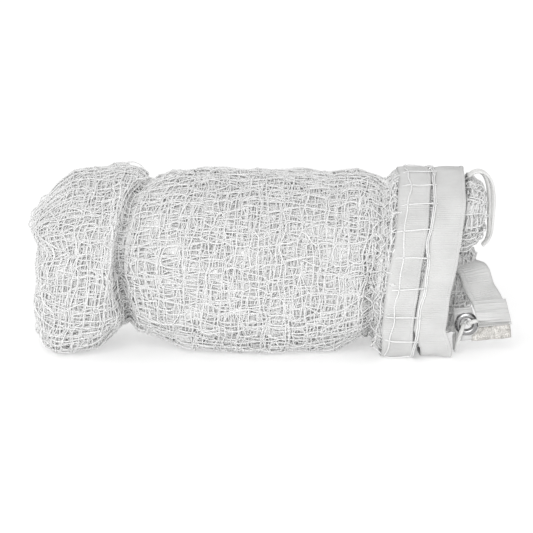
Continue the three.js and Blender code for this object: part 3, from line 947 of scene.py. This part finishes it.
def tape_strip(name, path, origins, across, through, closed, rib=0.55 * MM, rise=None,
               wander=None):
    """A ribbed tape whose cross-section's middle line is path, swept through the origins.
    rise(s, a) lifts it through and wander(s, a) moves it across; both may be left out."""
    m, n = len(origins), len(path)
    turned = unit(np.gradient(path, axis=0))
    outward = np.stack([turned[:, 1], -turned[:, 0]], -1)
    if outward[0, 1] < 0:
        outward = -outward
    travelled = travel(origins)
    half = np.full((m, n), PLY / 2) + rib * np.cos(TAU * travelled / RIB)[:, None]
    for place, factor in ((0, 0.25), (1, 0.75)):            # thin at its selvedges
        half[:, [place, -1 - place]] *= factor
    if not closed:
        for place, factor in ((0, 0.3), (1, 0.75)):         # and at its cut ends
            half[[place, -1 - place]] *= factor
    s, a, t = travelled[:, None], path[:, 0], path[:, 1]
    if rise is not None:
        t = t + rise(s, a)
    if wander is not None:
        a = a + wander(s, a)

    def surface(sign):
        at_a = (a + sign * half * outward[:, 0])[..., None]
        at_t = (t + sign * half * outward[:, 1])[..., None]
        return (origins[:, None] + across[:, None] * at_a + through[:, None] * at_t).reshape(-1, 3)

    inner = m * n
    i = np.arange(m if closed else m - 1)
    i_next = (i + 1) % m
    front = grid_quads(m, n, closed)
    first = np.stack([i * n, i_next * n, inner + i_next * n, inner + i * n], -1)
    faces = [front, front[:, ::-1] + inner, first, first[:, [1, 0, 3, 2]] + n - 1]
    if not closed:
        j = np.arange(n - 1)
        top = np.stack([j, inner + j, inner + j + 1, j + 1], -1)
        faces += [top, top[:, [0, 3, 2, 1]] + (m - 1) * n]
    faces = np.concatenate(faces)
    index = faces % inner
    u = travelled[index // n]
    if closed:
        total = travelled[-1] + np.linalg.norm(origins[0] - origins[-1])
        wraps = (u.max(1) - u.min(1)) > total / 2
        u = np.where(wraps[:, None] & (u < total / 2), u + total, u)
    uvs = np.stack([u, travel(path)[index % n]], -1).reshape(-1, 2)
    vertices = np.concatenate([surface(1), surface(-1)])
    made = make_object(name, vertices, faces, tape, uvs)
    mend_facing(made)
    return made


def band_seat(grow, step, half_depth=130 * MM, top=265.5 * MM, bottom=-4 * MM, floor=7.5 * MM):
    """The loop round the roll that the headband lies on, grown outwards: points and normals."""
    angle = ring_angles(1440) - math.pi / 2
    cos, sin = np.cos(angle), np.sin(angle)
    power = 2 / np.interp(sin, [-0.8, 0], [3.0, 2.3])       # squarer below, where it bears
    y = half_depth * np.sign(cos) * np.abs(cos) ** power
    z = (top + bottom) / 2 + (top - bottom) / 2 * np.sign(sin) * np.abs(sin) ** power
    loop = np.stack([y, np.maximum(z, floor)], -1)
    for _ in range(60):
        loop = (np.roll(loop, 1, 0) + 2 * loop + np.roll(loop, -1, 0)) / 4
    along = unit(np.roll(loop, -1, 0) - np.roll(loop, 1, 0))
    normal = np.stack([along[:, 1], -along[:, 0]], -1)
    grown = loop + normal * grow
    closed = np.vstack([grown, grown[:1]])
    normals = np.vstack([normal, normal[:1]])
    length = travel(closed)
    count = round(length[-1] / step)
    marks = np.arange(count) * length[-1] / count
    points = np.stack([np.interp(marks, length, closed[:, axis]) for axis in range(2)], -1)
    normals = np.stack([np.interp(marks, length, normals[:, axis]) for axis in range(2)], -1)
    return points, unit(normals)


def wrap_frames(right_edge, grow, shift):
    """Where the folded tape's fold runs round the roll: origins, across (to the left), through."""
    points, normals = band_seat(grow, RIB / 4)
    z = points[:, 1]
    x = right_edge + BAND_LEAN * (z - MID_HEIGHT) + np.interp(z, *shift)
    return np.column_stack([x, points]), towards_left(len(x)), off_x(normals)


def make_wraps():
    random = np.random.default_rng(7)
    # (height, how far the wrap is pushed along X there)
    shifts = {
        "inner": ([0, 0.05, 0.12, 0.20, 0.27], [2 * MM, -1 * MM, 0, 2 * MM, 1 * MM]),
        "outer": ([0, 0.022, 0.052, 0.08, 0.10, 0.14, 0.19, 0.24, 0.27],
                  np.array([6, 1, -11, -9, -7, -3, 1.5, 1.5, -1.5]) * MM),
    }
    for side, right_edge in WRAP_EDGES.items():
        ripple = smooth_noise(random, 12, 0.03, 0.14)
        drift = smooth_noise(random, 8, 0.09, 0.30)
        path = folded_tape_path(BAND_WIDTH, WRAP_CORD, 1.1 * MM)
        frames = wrap_frames(right_edge, 3.1 * MM, shifts[side])

        def rise(s, a, ripple=ripple):
            return 0.7 * MM * ripple(a, s / 0.8 * TAU)

        def wander(s, a, drift=drift):
            return 1.3 * MM * drift(a * 0.3, s / 0.8 * TAU)
        wrap = tape_strip(f"headband_{side}_turn", path, *frames, True, rise=rise, wander=wander)
        put(wrap, "bundle", "headband_tape", f"headband_{side}_wrap")
        cord_line = frames[0] + frames[1] * WRAP_CORD
        stations = np.vstack([cord_line, cord_line[:1]])[::3]
        head_cord = laid_cord(f"head_cord_{side}_turn", stations, 3.0 * MM, cord_material, sides=9)
        put(head_cord, "bundle", "cord", f"head_cord_{side}_wrap")


def make_inner_turns():
    """The turns of headband wound beneath, a spiral whose edges show in the end of the roll."""
    turns = 3
    points, normals = band_seat(-2.6 * MM, 2.6 * MM)
    count = len(points)
    index = np.arange(turns * count)
    turn = index / count
    depth = np.maximum(-turn * 8.2 * MM, -24 * MM)
    wobble = np.sin(turn * TAU * 2.3) * 0.9 * MM + np.sin(turn * TAU * 5.1) * 0.5 * MM
    place, normal = points[index % count], normals[index % count]
    line = place + normal * (depth + wobble)[:, None]
    x = 268.5 * MM + BAND_LEAN * (line[:, 1] - MID_HEIGHT) - turn * 2.2 * MM
    x = x + np.sin(turn * TAU * 1.7 + 1) * 1.6 * MM
    origins = np.column_stack([x, line])
    path = folded_tape_path(44 * MM, 2.2 * MM, 1.0 * MM, flat_points=5)
    spiral = tape_strip("headband_inner_turns", path, origins, towards_left(len(x)), off_x(normal),
                        False, rib=0.0)
    put(spiral, "bundle", "headband_tape", "headband_stacked_turns")


make_wraps()
make_inner_turns()
netting_over_band()
loose_loops()
gathered_end("netting_tuft", "netting_end_tuft", tuft_surface(), 300, 13, 8 * MM)
gathered_end("netting_fold", "netting_end_fold", fold_surface(), 320, 9, 8 * MM)
make_ties()


# ------------------------------------------------------------------ headband tail and end hem
# the tape's middle line: out of the netting, over a bend, and down in front of the roll's end
TAIL_LINE = [(283, 8, 129), (291, -6, 128), (298.5, -17, 125), (304.5, -25.5, 118),
             (308, -31.5, 108), (312, -39, 97), (320, -49, 85), (327, -60, 72), (329.5, -64.6, 67)]


def make_tail():
    line = resample(np.array(TAIL_LINE) * MM, RIB / 4)
    along = unit(np.gradient(line, axis=0))
    # the ribs lie nearly square to the tape, so across the tail they slope down to the right
    square = unit(np.array([1.0, 0, 0]) - along * along[:, :1])
    across = unit(0.6 * square + 0.4 * np.array([1.0, 0, 0]))
    through = unit(np.cross(along, across))
    through = np.where(through[:, 1:2] > 0, -through, through)
    origins = line - across * BAND_WIDTH / 2
    path = folded_tape_path(BAND_WIDTH, 3.6 * MM, 1.6 * MM)
    random = np.random.default_rng(21)
    ripple = smooth_noise(random, 9, 0.03, 0.10)

    def rise(s, a):
        return 0.7 * MM * ripple(a, s / 0.8 * TAU)
    tail = tape_strip("headband_tail_tape", path, origins, across, through, False,
                      rib=0.6 * MM, rise=rise)
    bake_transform(tail)
    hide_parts("headband_tail", "headband_tail_root")
    cord_line = origins[3:-3:2] + across[3:-3:2] * 3.7 * MM
    head_cord = laid_cord("head_cord_tail_rope", cord_line, 4.6 * MM, cord_material)
    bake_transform(head_cord)
    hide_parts("head_cord_tail")


HEM_ORIGIN = np.array([273, -61, 46]) * MM
HEM_SLOPE = 0.09                        # radians, up to the right
HEM_LENGTH = 83 * MM
HEM_HEIGHT = 51 * MM                    # at the eyelet; it is lower under the lap
HEM_BOTTOM = -HEM_HEIGHT / 2
EYELET_X, EYELET_Z = 18.4 * MM, 0.5 * MM
EYELET_HOLE = 13.2 * MM                 # radius cut in the hem for the eyelet
STITCH_THREAD = 1.1 * MM


def hem_point(x, y, z):
    """A point of the hem's own frame (along it, through it, up) in the shared frame."""
    cos, sin = math.cos(HEM_SLOPE), math.sin(HEM_SLOPE)
    return HEM_ORIGIN + np.stack([x * cos - z * sin, y + 0 * x, x * sin + z * cos], -1)


def soft_plate(name, left, right, low, top_at, half_thickness, corner, material, ripple,
               hole=None, rib=0.3 * MM):
    """A soft flat piece of the hem with rounded edges, in the hem's frame. top_at gives its upper
    edge at x. hole is (x, z, radius)."""
    step = RIB / 4
    xs = np.linspace(left, right, round((right - left) / step))
    tops = np.array([top_at(x) for x in xs])[:, None]
    up = np.linspace(0, 1, max(round(top_at(left) / step - low / step), 8))
    x = np.repeat(xs[:, None], len(up), 1)
    z = low + (tops - low) * up
    edge = np.minimum.reduce([x - left, right - x, z - low, tops - z])
    inside = np.clip(edge / corner, 0, 1)
    bulge = half_thickness * np.sqrt(np.clip(1 - (1 - inside) ** 2, 0, 1))
    bulge = bulge + rib * np.cos(TAU * z / RIB) * inside
    lift = ripple(x, z * 40) * 0.8 * MM
    vertices = np.concatenate([hem_point(x, lift + sign * bulge, z).reshape(-1, 3)
                               for sign in (-1, 1)])
    flat = np.stack([x.ravel(), z.ravel()], -1)
    quads = grid_quads(*x.shape)[:, [0, 3, 2, 1]]
    if hole is not None:
        away = flat[quads].mean(1) - hole[:2]
        quads = quads[np.hypot(away[:, 0], away[:, 1]) > hole[2]]
    faces = np.concatenate([quads, quads[:, ::-1] + x.size])
    made = make_object(name, vertices, faces, material, flat[faces % x.size].reshape(-1, 2))
    mesh = bmesh.new()
    mesh.from_mesh(made.data)
    bmesh.ops.remove_doubles(mesh, verts=mesh.verts, dist=0.02 * MM)
    open_edges = [edge for edge in mesh.edges if edge.is_boundary]
    if open_edges:
        bmesh.ops.bridge_loops(mesh, edges=open_edges)
    bmesh.ops.recalc_face_normals(mesh, faces=mesh.faces)
    mesh.to_mesh(made.data)
    mesh.free()
    return made


def make_hem():
    random = np.random.default_rng(5)
    ripple = smooth_noise(random, 8, 0.02, 0.06)

    def top_edge(x):
        """The hem stands higher round the eyelet than under the lap."""
        drop = part_way(x, 27 * MM, 6 * MM)
        return HEM_HEIGHT / 2 - 20 * MM * drop * drop * (3 - 2 * drop)
    hem = soft_plate("headband_end_hem_cloth", 0, HEM_LENGTH, HEM_BOTTOM, top_edge, 3.2 * MM,
                     3.4 * MM, tape, ripple, hole=(EYELET_X, EYELET_Z, EYELET_HOLE))
    put(hem, "end_hem", "headband_tape", "headband_end_hem")
    edges = Tubes(3 * MM, 10)
    for z in (24.2 * MM, 18.6 * MM):
        x = np.linspace(1.5 * MM, 29 * MM, 40)
        line = hem_point(x, -3.4 * MM + 0 * x, z + 0.3 * MM * np.sin(x / (4 * MM)))
        edges.add(line, np.tile([0.0, -1, 0], (len(x), 1)))
    rolled = edges.build("hem_rolled_edges", tape)
    put(rolled, "end_hem", "headband_tape")

    def strip_top(x):
        """The strip's upper edge is cut away round the eyelet's flange."""
        clear = 19.2 * MM
        inside = max(clear ** 2 - (x - EYELET_X) ** 2, 0)
        return min(-4.0 * MM, EYELET_Z - math.sqrt(inside) if inside else 0)
    # its dark brown flecks and blotches are painted shade
    strip = soft_plate("hem_edge_strip", 24 * MM, HEM_LENGTH + 0.6 * MM, HEM_BOTTOM - 1.7 * MM,
                       strip_top, 5.2 * MM, 2.6 * MM, patch_tape_and_painted_shade, ripple, rib=0.08 * MM)
    put(strip, "end_hem", "patch_tape", "hem_edge_patch")


def make_lap():
    """The end of the tail, folded down over the front of the hem and sewn to it."""
    profile = [(-2.6, 34), (-4.6, 31), (-7.6, 26), (-12.2, 18), (-14.0, 13), (-12.4, 8.5),
               (-8.6, 3.5), (-6.3, -1), (-6.0, -5.5)]
    line = resample([hem_point(np.float64(0.0), y * MM, z * MM) for y, z in profile], RIB / 4)
    along = unit(np.gradient(line, axis=0))
    cos, sin = math.cos(HEM_SLOPE), math.sin(HEM_SLOPE)
    # the lap's left edge leans to the right as it goes down, and so does the right one
    depth = (line[0, 2] - line[:, 2]) / (line[0, 2] - line[-1, 2])
    left = (30 + 6 * depth) * MM
    width = 50 * MM
    across = np.tile([cos, 0, sin], (len(line), 1))
    through = unit(np.cross(along, across))
    through = np.where(through[:, 1:2] > 0, -through, through)
    origins = line + across * left[:, None]
    random = np.random.default_rng(9)
    ripple = smooth_noise(random, 8, 0.025, 0.08)
    path = np.stack([np.linspace(0, width, 40), np.zeros(40)], -1)

    def rise(s, a):
        return 0.9 * MM * ripple(a, s * 40)
    lap = tape_strip("tail_lap", path, origins, across, through, False, rise=rise)
    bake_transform(lap)
    # zigzag rows through the lap's lower edge
    for row, (low, high) in enumerate([(-4.6, 0.2), (0.8, 5.4)]):
        x = np.arange(36.5, 83, 1.55)
        z = np.where(np.arange(len(x)) % 2, high, low)
        y = np.interp(z, [-5.5, -1, 5], [-6.0, -6.3, -8.0]) - 1.15
        line = hem_point(x * MM, y * MM, z * MM)
        dense = np.concatenate([np.linspace(a, b, 4, endpoint=False)
                                for a, b in zip(line, line[1:])] + [line[-1:]])
        thread = Tubes(STITCH_THREAD, 6)
        thread.add(dense, carried_normals(dense))
        stitches = thread.build(f"lap_stitches_{row + 1}", thread_material)
        put(stitches, "end_hem", "headband_tape")


def lathe(name, profile, node):
    """Turns a closed profile of (radius, y) round the eyelet's axis, in the hem's frame, with its
    corners rounded off."""
    profile = np.array(profile) * MM
    rounded = []
    for before, here, after in zip(np.roll(profile, 1, 0), profile, np.roll(profile, -1, 0)):
        reach = 0.35 * min(np.linalg.norm(before - here), np.linalg.norm(after - here))
        a, b = here + unit(before - here) * reach, here + unit(after - here) * reach
        for f in (0, 0.25, 0.5, 0.75, 1):
            rounded.append((1 - f) ** 2 * a + 2 * f * (1 - f) * here + f * f * b)
    radius, y = np.array(rounded).T
    segments = 96
    angle = ring_angles(segments)[:, None]
    x = EYELET_X + radius * np.cos(angle)
    z = EYELET_Z + radius * np.sin(angle)
    faces = grid_quads(segments, len(rounded), True, True)
    made = make_object(name, hem_point(x, y + 0 * x, z).reshape(-1, 3), faces, metal)
    mend_facing(made)
    put(made, "end_hem", "eyelet_metal", node)


def make_eyelet():
    lathe("eyelet_barrel_and_flange", [
        (9.5, 6.4), (9.5, -4.6), (10.4, -5.9), (12.5, -6.5), (15.2, -5.9), (17.2, -4.6),
        (17.8, -3.6), (16.9, -3.4), (14.8, -4.4), (12.6, -5.0), (10.9, -4.2), (10.8, 6.4)],
        "corner_eyelet")
    lathe("eyelet_back_washer", [
        (11.1, 3.7), (17.0, 3.7), (17.0, 4.6), (15.0, 5.2), (12.6, 5.4), (11.1, 4.9)],
        "corner_eyelet_washer")


make_tail()
make_hem()
make_lap()
make_eyelet()


# ------------------------------------------------------------------ light and floor
SKY = 0.70                      # strength of the white sky
TABLE_GLOW = 0.36               # and of the light through the table top
FLOOR_LEVEL = -0.3 * MM


def make_floor():
    """A white table top lit from beneath, wide enough that its edge is never in view."""
    radius, rings, spokes = 40.0, 6, 48
    reach = radius * (np.arange(rings + 1) / rings) ** 2 + 1 * MM
    reach, angle = flat_grid(reach, ring_angles(spokes))
    level = np.full(len(reach), FLOOR_LEVEL)
    vertices = np.stack([reach * np.cos(angle), reach * np.sin(angle), level], -1)
    finish = Finish("floor", 0.9)
    set_values(finish.inputs, {"Base Color": (0.80, 0.80, 0.80, 1),
                               "Emission Color": (1, 1, 1, 1), "Emission Strength": TABLE_GLOW})
    faces = grid_quads(rings + 1, spokes, False, True)[:, [0, 3, 2, 1]]
    make_object("floor", vertices, faces, finish.material)


def add_sun(name, azimuth, elevation, strength, spread):
    """A soft light from far away. Azimuth 0 shines from the camera's side, 90 from the right."""
    data = bpy.data.lights.new(name, "SUN")
    data.energy = strength
    data.angle = math.radians(spread)
    light = bpy.data.objects.new(name, data)
    bpy.context.scene.collection.objects.link(light)
    around, up = math.radians(azimuth), math.radians(elevation)
    to_light = Vector((math.sin(around) * math.cos(up), -math.cos(around) * math.cos(up),
                       math.sin(up)))
    light.rotation_euler = to_light.to_track_quat("Z", "Y").to_euler()


def make_world():
    world = bpy.data.worlds.new("studio")
    world.use_nodes = True
    background = world.node_tree.nodes["Background"]
    set_values(background.inputs, {"Color": (1, 1, 1, 1), "Strength": SKY})
    bpy.context.scene.world = world


make_floor()
make_world()
add_sun("front", -8, 24, 1.55, 30)
bpy.context.scene.view_settings.view_transform = "Standard"
